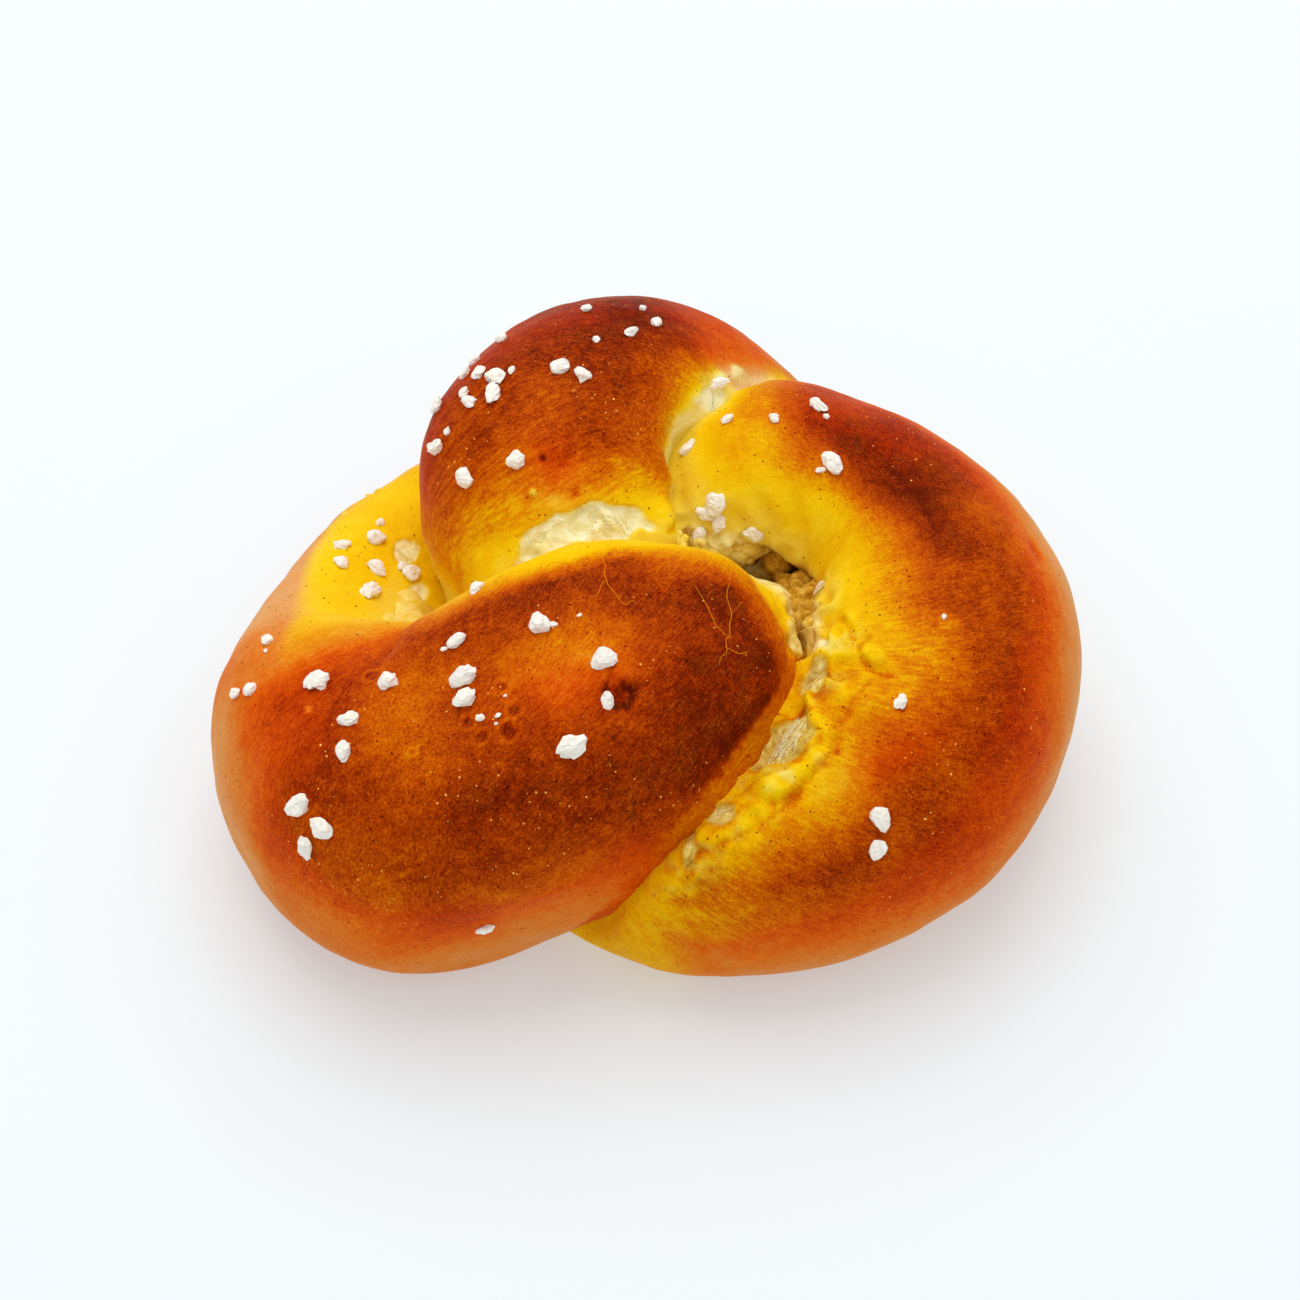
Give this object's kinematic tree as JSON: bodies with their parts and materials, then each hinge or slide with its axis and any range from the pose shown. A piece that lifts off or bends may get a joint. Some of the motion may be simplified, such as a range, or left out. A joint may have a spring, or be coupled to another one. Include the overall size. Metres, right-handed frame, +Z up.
{
  "type": "pretzel knot roll",
  "caption": "Soft glazed roll: one fat rope of milk dough tied in an overhand knot of three plump bends, fused as it baked, with scattered pearl sugar.",
  "frame": {"origin": "on the table under the middle of the roll's length and width", "axes": "+X to the right along the longest side, -Y towards the long front bend, +Z up from the flat base"},
  "size_m": [0.1092, 0.0938, 0.0475],
  "materials": {
    "crust": "satin egg glaze on browned crust",
    "crumb": "torn soft crumb",
    "sugar": "opaque pearl sugar"
  },
  "bodies": {
    "root": {"knot": "crust"}
  },
  "joints": []
}
